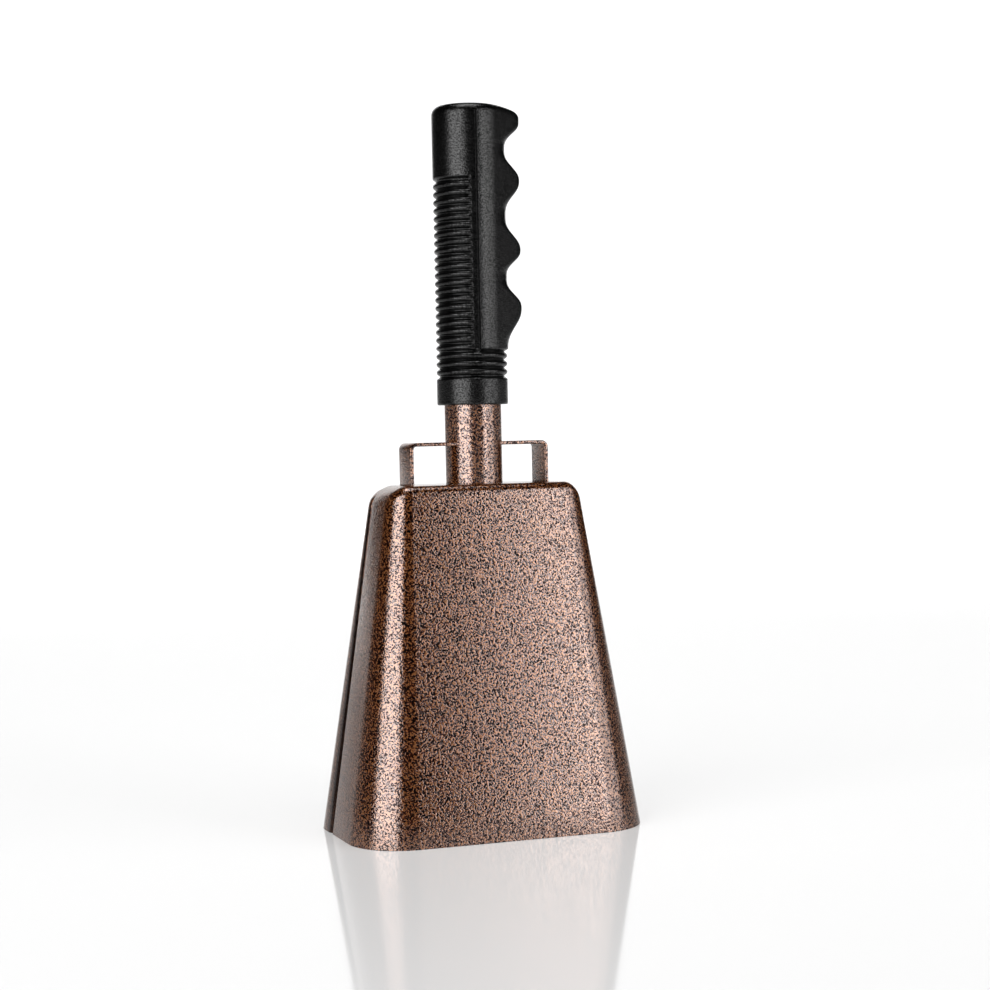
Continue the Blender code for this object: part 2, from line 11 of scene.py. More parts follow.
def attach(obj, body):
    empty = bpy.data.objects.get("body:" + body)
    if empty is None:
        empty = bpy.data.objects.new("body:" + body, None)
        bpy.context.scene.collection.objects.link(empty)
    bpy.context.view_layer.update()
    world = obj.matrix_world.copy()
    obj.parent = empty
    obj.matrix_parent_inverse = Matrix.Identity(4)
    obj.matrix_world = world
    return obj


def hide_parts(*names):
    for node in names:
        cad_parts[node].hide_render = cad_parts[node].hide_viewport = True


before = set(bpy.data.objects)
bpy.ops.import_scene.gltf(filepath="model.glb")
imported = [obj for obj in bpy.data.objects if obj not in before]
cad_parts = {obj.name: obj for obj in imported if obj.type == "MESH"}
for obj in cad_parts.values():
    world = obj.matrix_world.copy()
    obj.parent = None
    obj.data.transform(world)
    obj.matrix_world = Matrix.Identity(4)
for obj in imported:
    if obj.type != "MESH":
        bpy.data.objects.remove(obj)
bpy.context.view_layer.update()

MM = 0.001

# Bell sheet
BELL_HEIGHT = 134.0 * MM
MOUTH = (59.0 * MM, 37.8 * MM, 22.0 * MM)      # half width, half depth, corner
CROWN = (38.9 * MM, 17.0 * MM, 8.0 * MM)
SHEET = 1.2 * MM
END_BEND = 9.0 * MM
FACE_BEND = 3.5 * MM
LAP = 1.5 * MM
FRONT_SEAM = 6.0 * MM
REAR_SEAM = 1.0 * MM
JOGGLE_START = 6.3 * MM                        # the rear half steps out to the full outline
JOGGLE_SHARE = 0.5                             # over this share of the flat between flap and corner
FRONT_FLAP = (27.149 * MM, 12.0 * MM)          # corners of the top plate's free edge, across and back
REAR_FLAP = (30.849 * MM, 8.05 * MM)
JOGGLE_STEPS = 6
CORNER_STEPS = 28
WALL_ROWS = 10
WALL_ROW_HEIGHT = 12.0 * MM
BEND_STEPS = 14
SHEET_ROUND = 0.25 * MM                        # rounding of cut edges
CORNER_TURN = math.radians(50)                 # edges that turn by more than this are rounded

# Handle and strap
TUBE_SEAT = 0.05 * MM                          # gap between the tube and the bell's top
TUBE_RADIUS = 11.1 * MM
TUBE_TOP = 277.6 * MM
STRAP_WIDTH = 14.5 * MM
STRAP_THICKNESS = 1.4 * MM
STRAP_HALF_SPAN = 28.349 * MM
STRAP_TOP = 150.2 * MM
STRAP_BEND = 2.6 * MM
FOOT_BEND = 1.7 * MM
FOOT_LENGTH = 8.0 * MM
STRAP_ROUND = 0.35 * MM

# Grip, heights above its lower edge
GRIP_BASE = 164.5 * MM
GRIP_LENGTH = 116.6 * MM
GRIP_RADIUS = 13.85 * MM
GRIP_BORE = 11.4 * MM
COLLAR = 10.9 * MM
RIB_HEIGHT = 1.25 * MM
RIB_PITCH = 3.13 * MM
RIB_ROOT = 0.4 * MM
RIB_ROUNDNESS = 0.8
RINGS = 3
PALM_RIBS = 21
RIBS_END = 106.0                               # degrees from the finger side
RIBS_SLOPE = (-0.8, 1.8)                       # degrees past their end where they run out, and over
GROOVE = 98.5
GROOVE_SPAN = 9.0
GROOVE_SLOPE = (-1.2, 1.6)
GROOVE_DEPTH = 1.75 * MM
NOSE_RADIUS = 6.0 * MM
NOSE_REACH = 21.2 * MM
# Foot, swell, hollow, swell and so on up: height and reach from the tube's axis
SWELLS = ((20.2, 14.3), (37.7, 20.6), (49.1, 14.3), (60.0, 20.6), (72.8, 14.3), (87.0, 20.6), (98.6, 14.3),
          (110.0, 21.2))
SWELL_SHARPNESS = 1.5
SWELL_BLEND = 0.9 * MM
DOME_RADIUS = 60.0 * MM
DOME_EDGE = (3.0 * MM, 3.6 * MM)               # finger side, palm side
DOME_SHARES = (0.85, 0.68, 0.5, 0.32, 0.15)    # rings towards the middle of the dome
TOP_WALL = 3.2 * MM
LIP_ROUND = 0.6 * MM
LIP_ROWS = 6
COLLAR_ROWS = (0.8 * MM, 5)                    # height of the first row, and rows up to the first ring
RIB_ROW = 0.26 * MM                            # height between rows of the mesh over the ribs
PLAIN_ROW = 0.9 * MM                           # and above them
EDGE_ROOM = 0.3 * MM                           # left between the last of these and the dome's edge
EDGE_ROWS = 10
FINGER_TURN = 2.0                              # degrees between columns of the mesh on the finger side
GROOVE_TURN = 0.4                              # and over the groove and the ends of the ribs
PALM_COLUMNS = 26
LEAST_TURN = 0.25
RIB_FOOT = GRIP_RADIUS - RIB_HEIGHT
RIB_HALF = (RIB_PITCH - RIB_ROOT) / 2
RINGS_TOP = COLLAR + RINGS * RIB_PITCH + RIB_ROOT
RIBS_TOP = RINGS_TOP + PALM_RIBS * RIB_PITCH
COLLAR_SLOPE = (-RIB_HALF * 0.8, RIB_HALF * 0.9)

# Clapper
WIRE_RADIUS = 1.5 * MM
STAPLE_PIVOT = 125.8 * MM
ROD_PIVOT = 115.1 * MM
BALL_RADIUS = 10.0 * MM
BALL_HEIGHT = 38.0 * MM
BALL_BORE = 1.8 * MM
BORE_DISH = 0.05 * MM                          # the rims of the bore lie this far in
STAPLE_HALF = 6.0 * MM
STAPLE_BEND = 3.0 * MM
STAPLE_LEG = 9.1 * MM
LINK_BEND = 4.0 * MM
LINK_RISE = 0.7 * MM                           # centre of its upper bend, below the staple's pivot
LINK_DROP = 6.7 * MM                           # and of its lower bend
EYE_BEND = 4.5 * MM
EYE_DROP = 1.2 * MM
EYE_END = 235                                  # degrees round the eye at which the rod's end lies
NECK_BEND = 3.0 * MM
ROD_END = 0.9 * MM
ROD_SEAT = 1.1 * MM                            # from the ball to the middle of the collar and the head
COLLAR_THICKNESS = 1.6 * MM
COLLAR_ROUND = COLLAR_THICKNESS * 0.3
PEEN_RADIUS = 2.7 * MM                         # the staple's riveted ends
PEEN_HEIGHT = 9.3 * MM
ROD_COLLAR = 3.0 * MM
ROD_HEAD = 2.6 * MM

# Enamel, vinyl and steel
FLECKS_PER_METRE = 1500
FLECK_TURN = (0.6, 0.45, 0.8)                  # off the faces' own directions
FLECK_TWIST = 0.8
PIT_RANGE = (0.485, 0.40)                      # of the fleck noise, from none to full
GLOW_RANGE = (0.52, 0.59)
TONES_PER_METRE = 420
TONE_RANGE = (0.42, 0.62)
ENAMEL_TONES = ((0.06, 0.012, 0.003), (0.105, 0.021, 0.006))
ENAMEL_GLOW = (0.31, 0.115, 0.036)
# Near black for the pits, partly the enamel's own dark and partly painted shade in the bump's hollows, and
# for the painted shade beside the lap.
PIT_AND_PAINTED_SHADE_COLOR = (0.012, 0.004, 0.0025)
ENAMEL_METAL = (0.1, 0.9, 0.40, 0.92)          # from this range of the pits and the painted shade to this range of Metallic
ENAMEL_ROUGHNESS = 0.12
ENAMEL_INDEX = 2.7
ENAMEL_BUMP = 0.08 * MM
SEAM_NEAR = FRONT_SEAM - 0.3 * MM              # the strip of painted shade beside the lap, from front to back
SEAM_FULL = FRONT_SEAM + 0.1 * MM
SEAM_FAR = 13.6 * MM
SEAM_FAR_SOFT = 1.2 * MM
SEAM_TAPER = 0.036                             # its far edge comes forward this much per height
SEAM_TOP = (128.0 * MM, 124.0 * MM)
# How far the painted shade darkens the strip beside the lap.
SEAM_SHADE_STRENGTH = 0.8
GRAINS_PER_METRE = 1900
VINYL_TONES = ((0.0006, 0.0006, 0.0006), (0.002, 0.002, 0.002))
VINYL_METAL = (0.42, 0.6, 0.0, 0.7)            # the same for the grain, which gives the sparkle
VINYL_ROUGHNESS = 0.22
VINYL_INDEX = 1.52
VINYL_BUMP = 0.1 * MM
WEAR_PER_METRE = 350
STEEL_TONES = ((0.30, 0.29, 0.28), (0.55, 0.54, 0.52))
STEEL_ROUGHNESS = (0.28, 0.5)

# Studio
HEADING = math.radians(20.34)
AHEAD = Vector((math.sin(HEADING), math.cos(HEADING), 0))
RIGHT = Vector((math.cos(HEADING), -math.sin(HEADING), 0))
UP = Vector((0, 0, 1))
CAMERA_SPOT = Vector((-0.28037, -0.77917, 0.15786))
CAMERA_PITCH = math.radians(1.985)
CAMERA_ROLL = math.radians(-1.18)
LENS = 77.15
FILM_WIDTH = 36
LAMP_AIM = Vector((0, 0, 0.15))
LAMP_DISTANCE = 1.2
LAMPS = (                                      # bearing, elevation, width, height and radiance
    ("left_softbox", -36, 3, 1.07, 1.2, 4.2),
    ("right_strip", 49.5, 3, 0.27, 1.2, 4.5),
    ("right_softbox", 72, 3, 0.7, 1.2, 2.1),
    ("rear_left_card", -143, 3, 0.6, 1.2, 0.08),
    ("far_right_card", 101, 3, 0.5, 1.2, 0.15),
    ("top_softbox", 0, 82, 0.8, 0.8, 4.0),
)
WORLD_SEEN = 1.0
WORLD_LIGHT = 0.015
SHEET_COLOR = (0.8, 0.8, 0.8, 1)
GLOW_COLOR = (1.0, 1.0, 1.0)
FADE = (0.8, 3.0)                              # metres from its middle over which a sheet's glow grows


# Helpers

def ramp(value, start, length):
    """0 below start, 1 past start + length, with a smooth rise between."""
    share = min(max((value - start) / length, 0.0), 1.0)
    return share * share * (3 - 2 * share)


def mix(low, high, share):
    return low + (high - low) * share


def piece(name, shape, finish, body, stands_for, sharp=35.0):
    """Hands a finished shape to the frame in place of the nodes it stands for."""
    mesh = bpy.data.meshes.new(name)
    shape.to_mesh(mesh)
    shape.free()
    mesh.materials.append(finish)
    mesh.shade_smooth()
    mesh.set_sharp_from_angle(angle=math.radians(sharp))
    made = bpy.data.objects.new(name, mesh)
    bpy.context.scene.collection.objects.link(made)
    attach(made, body)
    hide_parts(*stands_for)


def tidy(shape):
    """Joins doubled points and turns the faces outwards."""
    bmesh.ops.remove_doubles(shape, verts=shape.verts, dist=0.004 * MM)
    bmesh.ops.recalc_face_normals(shape, faces=shape.faces)
    return shape


def draw_up(shape, edges, rows):
    """Extrudes a chain of edges once per row; each row gives its points by their place."""
    layer = shape.verts.layers.int["place"]
    for row in rows:
        grown = bmesh.ops.extrude_edge_only(shape, edges=edges)["geom"]
        fresh = {item for item in grown if isinstance(item, bmesh.types.BMVert)}
        for vert in fresh:
            vert.co = row[vert[layer]]
        edges = [item for item in grown if isinstance(item, bmesh.types.BMEdge)
                 and item.verts[0] in fresh and item.verts[1] in fresh]
    return edges


def chain(shape, points, closed=False):
    """A line of edges through the points, which remember their place for draw_up."""
    layer = shape.verts.layers.int.new("place")
    verts = []
    for place, point in enumerate(points):
        vert = shape.verts.new(point)
        vert[layer] = place
        verts.append(vert)
    edges = [shape.edges.new(pair) for pair in zip(verts, verts[1:])]
    if closed:
        edges.append(shape.edges.new((verts[-1], verts[0])))
    return edges


# The bell's two pressed halves

def blend_sizes(height):
    """Half width, half depth and corner of the bell's outline at one height."""
    share = height / BELL_HEIGHT
    return [mix(low, high, share) for low, high in zip(MOUTH, CROWN)]


def wall_ring(height, half):
    """Points, outward directions and depths under the full outline; half is -1 front, 1 rear."""
    half_width, half_depth, corner = blend_sizes(height)
    slope = (MOUTH[0] - CROWN[0]) / BELL_HEIGHT
    side = Vector((-half, 0, 0))
    deep = Vector((0, half, 0))
    level = Vector((0, 0, height))
    ends = [(FRONT_SEAM, 0.0)]
    if half == 1:
        joggle_end = mix(FRONT_SEAM, half_depth - corner, JOGGLE_SHARE)
        ends = [(REAR_SEAM, LAP)]
        for step in range(JOGGLE_STEPS + 1):
            seam = mix(JOGGLE_START, joggle_end, step / JOGGLE_STEPS)
            ends.append((seam, LAP * (1 - ramp(step, 0, JOGGLE_STEPS))))
    first, last = [], []
    for seam, depth in ends:
        reach = half_width - depth * math.hypot(1, slope)
        first.append((side * reach + Vector((0, seam, height)), side, depth))
        last.append((-side * reach + Vector((0, seam, height)), -side, depth))
    around = []
    for index in range(2 * CORNER_STEPS + 2):
        step = index if index <= CORNER_STEPS else index - 1
        angle = math.pi / 2 * step / CORNER_STEPS
        outward = side * math.cos(angle) + deep * math.sin(angle)
        flank = side if index <= CORNER_STEPS else -side
        center = flank * (half_width - corner) + deep * (half_depth - corner)
        around.append((center + level + outward * corner, outward, 0.0))
    return first + around + last[::-1]


def wall_lean(outward):
    """How far the wall that faces outward leans in from upright."""
    slopes = [(low - high) / BELL_HEIGHT for low, high in zip(MOUTH, CROWN)]
    side = (slopes[0] - slopes[2]) * abs(outward.x)
    face = (slopes[1] - slopes[2]) * abs(outward.y)
    return math.atan(slopes[2] + side + face)


def bend_row(share, half, top):
    """One row of the rounding between wall and top plate, from 0 at the wall to 1 at the plate."""
    row = []
    for index, (_, outward, depth) in enumerate(wall_ring(top, half)):
        across = FACE_BEND + (END_BEND - depth - FACE_BEND) * outward.x ** 2
        rise = FACE_BEND + (END_BEND - (BELL_HEIGHT - top) - FACE_BEND) * outward.x ** 2
        lean = rise * math.tan(wall_lean(outward))
        start = math.atan2(lean, across)
        turn = start + (math.pi / 2 - start) * share
        base = wall_ring(top - rise, half)[index][0]
        center = base - outward * math.hypot(across, lean)
        row.append(center + outward * across * math.cos(turn) + Vector((0, 0, rise * math.sin(turn))))
    return row


def thickened(name, shape, thickness):
    """The skin in shape, thickened inwards."""
    mesh = bpy.data.meshes.new(name)
    shape.to_mesh(mesh)
    shape.free()
    holder = bpy.data.objects.new(name, mesh)
    wall = holder.modifiers.new("wall", "SOLIDIFY")
    wall.thickness = thickness
    wall.offset = -1
    wall.use_even_offset = True
    return evaluated(holder)


def evaluated(holder):
    """What an object's modifiers or curve settings make, as a new shape; the object goes."""
    bpy.context.scene.collection.objects.link(holder)
    made = holder.evaluated_get(bpy.context.evaluated_depsgraph_get())
    mesh = bpy.data.meshes.new_from_object(made)
    bpy.data.objects.remove(holder)
    shape = bmesh.new()
    shape.from_mesh(mesh)
    bpy.data.meshes.remove(mesh)
    return shape


def round_edges(shape, width):
    sharp = [edge for edge in shape.edges if edge.is_manifold and edge.calc_face_angle() > CORNER_TURN]
    bmesh.ops.bevel(shape, geom=sharp, offset=width, offset_type="OFFSET", segments=3, profile=0.5,
                    affect="EDGES", clamp_overlap=True, material=-1)


def pressed_half(name, finish, half, top, flap):
    """One half of the bell; its skin starts below the mouth and is cut flat there once it has a wall."""
    shape = bmesh.new()
    edges = chain(shape, [point for point, _, _ in wall_ring(-SHEET, half)])
    rows = [[point for point, _, _ in wall_ring(WALL_ROW_HEIGHT * step, half)] for step in range(WALL_ROWS)]
    rows += [bend_row(step / BEND_STEPS, half, top) for step in range(BEND_STEPS + 1)]
    edges = draw_up(shape, edges, rows)
    layer = shape.verts.layers.int["place"]
    rim = sorted({vert for edge in edges for vert in edge.verts}, key=lambda vert: vert[layer])
    flap_x, flap_y = flap
    corners = [shape.verts.new((side * flap_x, flap_y, top)) for side in (half, -half)]
    plate = shape.faces.new(rim + corners)
    tidy(shape)
    if plate.normal.z < 0:
        bmesh.ops.reverse_faces(shape, faces=shape.faces)
    shape = thickened(name, shape, SHEET)
    everything = shape.verts[:] + shape.edges[:] + shape.faces[:]
    cut = bmesh.ops.bisect_plane(shape, geom=everything, plane_co=(0, 0, 0), plane_no=(0, 0, 1),
                                 clear_inner=True)
    loop = [item for item in cut["geom_cut"] if isinstance(item, bmesh.types.BMEdge)]
    bmesh.ops.contextual_create(shape, geom=loop)
    tidy(shape)
    round_edges(shape, SHEET_ROUND)
    piece(name, shape, finish, "bell", (name,))


# Handle tube and strap

def handle_tube(finish):
    shape = bmesh.new()
    foot = BELL_HEIGHT + TUBE_SEAT
    inner = TUBE_RADIUS - SHEET
    outside = [(TUBE_RADIUS, height) for height in (foot, STRAP_TOP, TUBE_TOP)]
    profile = [(inner, foot)] + outside + [(inner, TUBE_TOP)]
    verts = [shape.verts.new((radius, 0, height)) for radius, height in profile]
    edges = [shape.edges.new(pair) for pair in zip(verts, verts[1:] + verts[:1])]
    bmesh.ops.spin(shape, geom=verts + edges, axis=(0, 0, 1), cent=(0, 0, 0), steps=128,
                   angle=2 * math.pi, use_merge=True)
    piece("handle_tube", tidy(shape), finish, "bell", ("handle_tube",))


def add_arc(points, center, start, end, radius, steps):
    """Adds an arc in the XZ plane to the points, from start to end degrees."""
    for step in range(steps + 1):
        angle = math.radians(start + (end - start) * step / steps)
        across = center[0] + radius * math.cos(angle)
        points.append(Vector((across, 0, center[1] + radius * math.sin(angle))))


def strap(finish):
    shape = bmesh.new()
    half = [Vector((STRAP_HALF_SPAN - FOOT_BEND - FOOT_LENGTH, 0, BELL_HEIGHT - SHEET - FOOT_BEND))]
    add_arc(half, (STRAP_HALF_SPAN - FOOT_BEND, BELL_HEIGHT - SHEET), -90, 0, FOOT_BEND, steps=10)
    add_arc(half, (STRAP_HALF_SPAN - STRAP_BEND, STRAP_TOP - STRAP_BEND), 0, 90, STRAP_BEND, steps=12)
    path = half + [Vector((-point.x, 0, point.z)) for point in reversed(half)]
    edges = chain(shape, [point + Vector((0, -STRAP_WIDTH / 2, 0)) for point in path])
    draw_up(shape, edges, [[point + Vector((0, STRAP_WIDTH / 2, 0)) for point in path]])
    tidy(shape)
    crown = max(shape.faces, key=lambda face: face.calc_center_median().z)
    if crown.normal.z < 0:
        bmesh.ops.reverse_faces(shape, faces=shape.faces)
    shape = tidy(thickened("bail_strap", shape, STRAP_THICKNESS))
    round_edges(shape, STRAP_ROUND)
    piece("bail_strap", shape, finish, "bell", ("bail_strap",))


# Finger grip

def soft_min(first, second, width):
    """The lesser of two lengths, blended over width where they meet."""
    share = max(width - abs(first - second), 0.0) / width
    return min(first, second) - share * share * width / 4


def ridge_radius(angle):
    """The grip's plain section: the round palm side, flat flanks and the nose of the finger side."""
    nose_x = NOSE_REACH - NOSE_RADIUS
    touch = math.acos((GRIP_RADIUS - NOSE_RADIUS) / nose_x)
    nose_touch = math.atan2(NOSE_RADIUS * math.sin(touch), nose_x + NOSE_RADIUS * math.cos(touch))
    if angle >= touch:
        return GRIP_RADIUS
    if angle > nose_touch:
        return GRIP_RADIUS / math.cos(touch - angle)
    across = nose_x * math.sin(angle)
    return nose_x * math.cos(angle) + math.sqrt(NOSE_RADIUS ** 2 - across ** 2)


def finger_reach(height):
    """How far the finger side may stand out at one height."""
    for (low, start), (high, end) in zip(SWELLS, SWELLS[1:]):
        if low * MM < height < high * MM:
            share = (height / MM - low) / (high - low)
            rise = share if end > start else 1 - share
            swell = ((1 - math.cos(math.pi * rise)) / 2) ** SWELL_SHARPNESS
            return mix(min(start, end), max(start, end), swell) * MM
    return NOSE_REACH if height > SWELLS[1][0] * MM else SWELLS[0][1] * MM


def rib_lift(height, low):
    """Share of a rib's height at one height; ribs follow each other up from low."""
    place = (height - low) / RIB_PITCH
    if place < 0:
        return 0.0
    off = abs((place % 1) - 0.5) * RIB_PITCH / RIB_HALF
    return max(1 - off * off, 0.0) ** RIB_ROUNDNESS


def grip_radius(angle, height):
    """The grip's surface by angle from the finger side and height above its lower edge."""
    turned_by = abs(math.degrees(angle))
    plain = soft_min(ridge_radius(abs(angle)), finger_reach(height), SWELL_BLEND)
    first_rib = COLLAR + RIB_ROOT / 2
    crest = RIB_FOOT + RIB_HEIGHT * rib_lift(height, first_rib)
    over = ramp(height, RINGS_TOP - RIB_ROOT, RIB_HALF)
    above_ribs = mix(RIB_FOOT, GRIP_RADIUS, ramp(height, RIBS_TOP, RIB_HALF))
    palm = crest if height < RIBS_TOP - RIB_ROOT / 2 else above_ribs
    on_palm = ramp(turned_by, RIBS_END + RIBS_SLOPE[0], RIBS_SLOPE[1])
    wall = mix(plain, palm, on_palm)
    groove = 1 - ramp(abs(turned_by - GROOVE), GROOVE_SPAN / 2 + GROOVE_SLOPE[0], GROOVE_SLOPE[1])
    wall = wall - GROOVE_DEPTH * groove * over
    rings = crest if height < RINGS_TOP - RIB_ROOT / 2 else RIB_FOOT
    wall = mix(rings, wall, over)
    collar = 1 - ramp(height, COLLAR + COLLAR_SLOPE[0], COLLAR_SLOPE[1])
    wall = mix(wall, GRIP_RADIUS, collar)
    lip = min(height / LIP_ROUND, 1.0)
    return wall - LIP_ROUND * (1 - math.sqrt(1 - (1 - lip) ** 2))


def dome_height(radius):
    """Height of the dome above the grip's lower edge, by distance from the axis."""
    return GRIP_LENGTH - radius ** 2 / 2 / DOME_RADIUS


def dome_edge(angle):
    """Radius of the rounding between the grip's side and its dome."""
    middle = (DOME_EDGE[0] + DOME_EDGE[1]) / 2
    return middle + (DOME_EDGE[0] - DOME_EDGE[1]) / 2 * math.cos(angle)


def grip_angles():
    """Angles of the grip's columns: close together at the groove's edges and the ends of the ribs."""
    low = GROOVE - GROOVE_SPAN / 2
    half = [FINGER_TURN * step for step in range(46)]
    half += [low - 1.0 + GROOVE_TURN * step for step in range(32)]
    last = half[-1]
    half += [mix(last, 180, step / PALM_COLUMNS) for step in range(1, PALM_COLUMNS)]
    half.sort()
    clean = []
    for angle in half:
        if not clean or angle - clean[-1] > LEAST_TURN:
            clean.append(angle)
    around = clean + [180.0] + [-angle for angle in reversed(clean[1:])]
    return [math.radians(angle) for angle in around]


def grip_heights():
    """Heights of the grip's rows: fine at the lip and over the ribs, wider above them."""
    heights = [LIP_ROUND * (step / LIP_ROWS) ** 2 for step in range(LIP_ROWS + 1)]
    low = COLLAR - RIB_HALF
    first, count = COLLAR_ROWS
    heights += [mix(first, low, step / count) for step in range(count + 1)]
    steps = int((RIBS_TOP + RIB_PITCH - low) / RIB_ROW)
    heights += [low + RIB_ROW * step for step in range(1, steps + 1)]
    last = heights[-1]
    steps = int((GRIP_LENGTH - last) / PLAIN_ROW)
    heights += [last + PLAIN_ROW * step for step in range(1, steps + 1)]
    return heights


def finger_grip(finish):
    angles = grip_angles()

    def ring(radius_of, height_of):
        points = []
        for angle in angles:
            level = Vector((0, 0, GRIP_BASE + height_of(angle)))
            points.append(Vector((math.cos(angle), math.sin(angle), 0)) * radius_of(angle) + level)
        return points

    edge_low = min(dome_height(ridge_radius(abs(a)) - dome_edge(a)) - dome_edge(a) for a in angles)
    heights = [height for height in grip_heights() if height < edge_low - EDGE_ROOM]
    rows = [ring(lambda a, h=height: grip_radius(a, h), lambda a, h=height: h) for height in heights]
    for step in range(EDGE_ROWS + 1):
        bow = math.pi / 2 * step / EDGE_ROWS

        def edge_height(a, bow=bow):
            inner = ridge_radius(abs(a)) - dome_edge(a)
            return dome_height(inner) - dome_edge(a) * (1 - math.sin(bow))

        def edge_radius(a, bow=bow, low=step < 2):
            full = ridge_radius(abs(a)) - dome_edge(a) * (1 - math.cos(bow))
            return min(full, grip_radius(a, edge_height(a))) if low else full

        rows.append(ring(edge_radius, edge_height))
    for share in DOME_SHARES:
        rows.append(ring(lambda a, s=share: (ridge_radius(abs(a)) - dome_edge(a)) * s,
                         lambda a, s=share: dome_height((ridge_radius(abs(a)) - dome_edge(a)) * s)))
    shape = bmesh.new()
    bottom = chain(shape, rows[0], closed=True)
    top = draw_up(shape, bottom, rows[1:])
    bmesh.ops.contextual_create(shape, geom=top)
    bore = [ring(lambda a: GRIP_BORE, lambda a, h=height: h) for height in (0.0, GRIP_LENGTH - TOP_WALL)]
    inner = draw_up(shape, bottom, bore)
    bmesh.ops.contextual_create(shape, geom=inner)
    piece("finger_grip", tidy(shape), finish, "bell", ("finger_grip",), sharp=60.0)


# Clapper

def wire(name, points, closed=False):
    """Round wire along the points."""
    curve = bpy.data.curves.new(name, "CURVE")
    curve.dimensions = "3D"
    curve.bevel_depth = WIRE_RADIUS
    curve.bevel_resolution = 5
    curve.use_fill_caps = not closed
    spline = curve.splines.new("POLY")
    spline.points.add(len(points) - 1)
    for slot, point in zip(spline.points, points):
        slot.co = (*point, 1.0)
    spline.use_cyclic_u = closed
    return evaluated(bpy.data.objects.new(name, curve))


def disc(shape, radius, center):
    """A round collar or rivet head with rounded rims."""
    made = bmesh.ops.create_cone(shape, cap_ends=True, segments=48, radius1=radius, radius2=radius,
                                 depth=COLLAR_THICKNESS, matrix=Matrix.Translation(center))
    rims = {edge for vert in made["verts"] for edge in vert.link_edges
            if abs(edge.verts[0].co.z - edge.verts[1].co.z) < 1e-9}
    bmesh.ops.bevel(shape, geom=list(rims), offset=COLLAR_ROUND, offset_type="OFFSET", segments=4,
                    profile=0.5, affect="EDGES", material=-1)


def staple(finish):
    points = [Vector((STAPLE_HALF, 0, STAPLE_PIVOT + STAPLE_LEG))]
    add_arc(points, (STAPLE_HALF - STAPLE_BEND, STAPLE_PIVOT + STAPLE_BEND), 0, -90, STAPLE_BEND, steps=12)
    points += [Vector((-point.x, 0, point.z)) for point in reversed(points)]
    shape = wire("clapper_staple", points)
    for side in (-1, 1):
        disc(shape, PEEN_RADIUS, Vector((side * STAPLE_HALF, 0, STAPLE_PIVOT + PEEN_HEIGHT)))
    piece("clapper_staple", tidy(shape), finish, "bell", ("clapper_staple",))


def link(finish):
    oval = []
    add_arc(oval, (0, STAPLE_PIVOT - LINK_RISE), 0, 180, LINK_BEND, steps=20)
    add_arc(oval, (0, STAPLE_PIVOT - LINK_DROP), 180, 360, LINK_BEND, steps=20)
    points = [Vector((0, point.x, point.z)) for point in oval]
    shape = wire("clapper_link", points, closed=True)
    piece("clapper_link", tidy(shape), finish, "link", ("clapper_link",))


def rod(finish):
    eye = ROD_PIVOT - EYE_DROP
    reach = NECK_BEND + EYE_BEND
    turn = math.acos(NECK_BEND / reach)
    neck = eye - reach * math.sin(turn)
    points = [Vector((0, 0, BALL_HEIGHT - BALL_RADIUS - ROD_END))]
    add_arc(points, (NECK_BEND, neck), 180, 180 - math.degrees(turn), NECK_BEND, steps=10)
    bow = []
    add_arc(bow, (0, eye), -math.degrees(turn), EYE_END, EYE_BEND, steps=40)
    shape = wire("clapper_rod", points + bow[1:])
    seat = BALL_RADIUS + ROD_SEAT
    disc(shape, ROD_COLLAR, Vector((0, 0, BALL_HEIGHT - seat)))
    disc(shape, ROD_HEAD, Vector((0, 0, BALL_HEIGHT + seat)))
    piece("clapper_rod", tidy(shape), finish, "clapper", ("clapper_rod",))


def ball(finish):
    shape = bmesh.new()
    points = []
    add_arc(points, (0, BALL_HEIGHT), -80, 80, BALL_RADIUS, steps=40)
    low = Vector((BALL_BORE, 0, points[0].z + BORE_DISH))
    high = Vector((BALL_BORE, 0, points[-1].z - BORE_DISH))
    verts = [shape.verts.new(point) for point in [low] + points + [high]]
    edges = [shape.edges.new(pair) for pair in zip(verts, verts[1:] + verts[:1])]
    bmesh.ops.spin(shape, geom=verts + edges, axis=(0, 0, 1), cent=(0, 0, 0), steps=72,
                   angle=2 * math.pi, use_merge=True)
    piece("clapper_ball", tidy(shape), finish, "clapper", ("clapper_ball",))


# Finishes

def new_material(name):
    made = bpy.data.materials.new(name)
    made.use_nodes = True
    tree = made.node_tree
    return made, tree, tree.nodes["Principled BSDF"]


def add(tree, kind, **settings):
    node = tree.nodes.new(kind)
    for key, value in settings.items():
        setattr(node, key, value)
    return node


def noise(tree, vector, scale, detail, roughness=0.5):
    node = add(tree, "ShaderNodeTexNoise")
    node.inputs["Scale"].default_value = scale
    node.inputs["Detail"].default_value = detail
    node.inputs["Roughness"].default_value = roughness
    tree.links.new(vector, node.inputs["Vector"])
    return node


def remap(tree, value, low, high, new_low=0.0, new_high=1.0, curve="SMOOTHSTEP"):
    node = add(tree, "ShaderNodeMapRange", interpolation_type=curve)
    for name, number in (("From Min", low), ("From Max", high), ("To Min", new_low), ("To Max", new_high)):
        node.inputs[name].default_value = number
    tree.links.new(value, node.inputs["Value"])
    return node.outputs["Result"]


def reckon(tree, operation, *values):
    """A sum over sockets and numbers."""
    node = add(tree, "ShaderNodeMath", operation=operation)
    for socket, value in zip(node.inputs, values):
        if isinstance(value, float):
            socket.default_value = value
        else:
            tree.links.new(value, socket)
    return node.outputs["Value"]


def blend_color(tree, low, high, factor):
    node = add(tree, "ShaderNodeMix", data_type="RGBA")
    for socket, value in ((node.inputs[6], low), (node.inputs[7], high)):
        if isinstance(value, tuple):
            socket.default_value = (*value, 1)
        else:
            tree.links.new(value, socket)
    tree.links.new(factor, node.inputs[0])
    return node.outputs[2]


